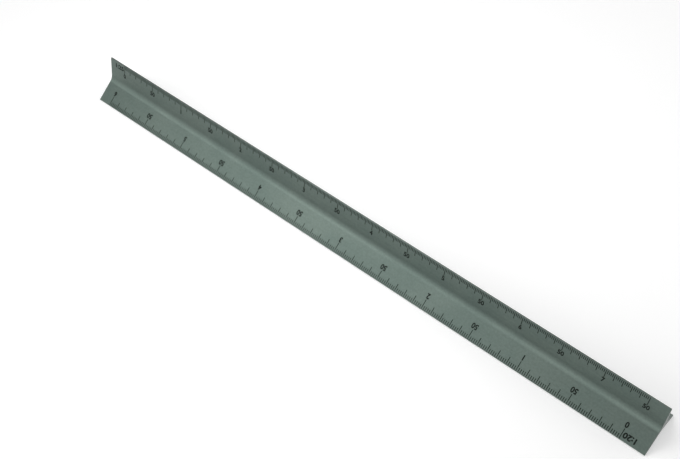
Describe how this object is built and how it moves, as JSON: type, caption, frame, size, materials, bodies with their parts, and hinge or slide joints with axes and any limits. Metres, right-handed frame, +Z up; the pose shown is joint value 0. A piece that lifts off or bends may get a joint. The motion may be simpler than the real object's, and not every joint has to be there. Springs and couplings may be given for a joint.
{
  "type": "triangular scale ruler",
  "caption": "Triangular aluminium scale ruler with hollowed faces, blunt ribs and printed scales along both edges of each face.",
  "frame": {"origin": "on the ground under the middle of the ruler, as it lies on two of its ribs", "axes": "+X along the ruler, +Y across it, +Z up towards the third rib"},
  "size_m": [0.319, 0.0242, 0.021],
  "materials": {
    "satin_aluminium": "satin",
    "black_print": "matt"
  },
  "bodies": {
    "root": {"ruler_body": "satin_aluminium"}
  },
  "joints": []
}
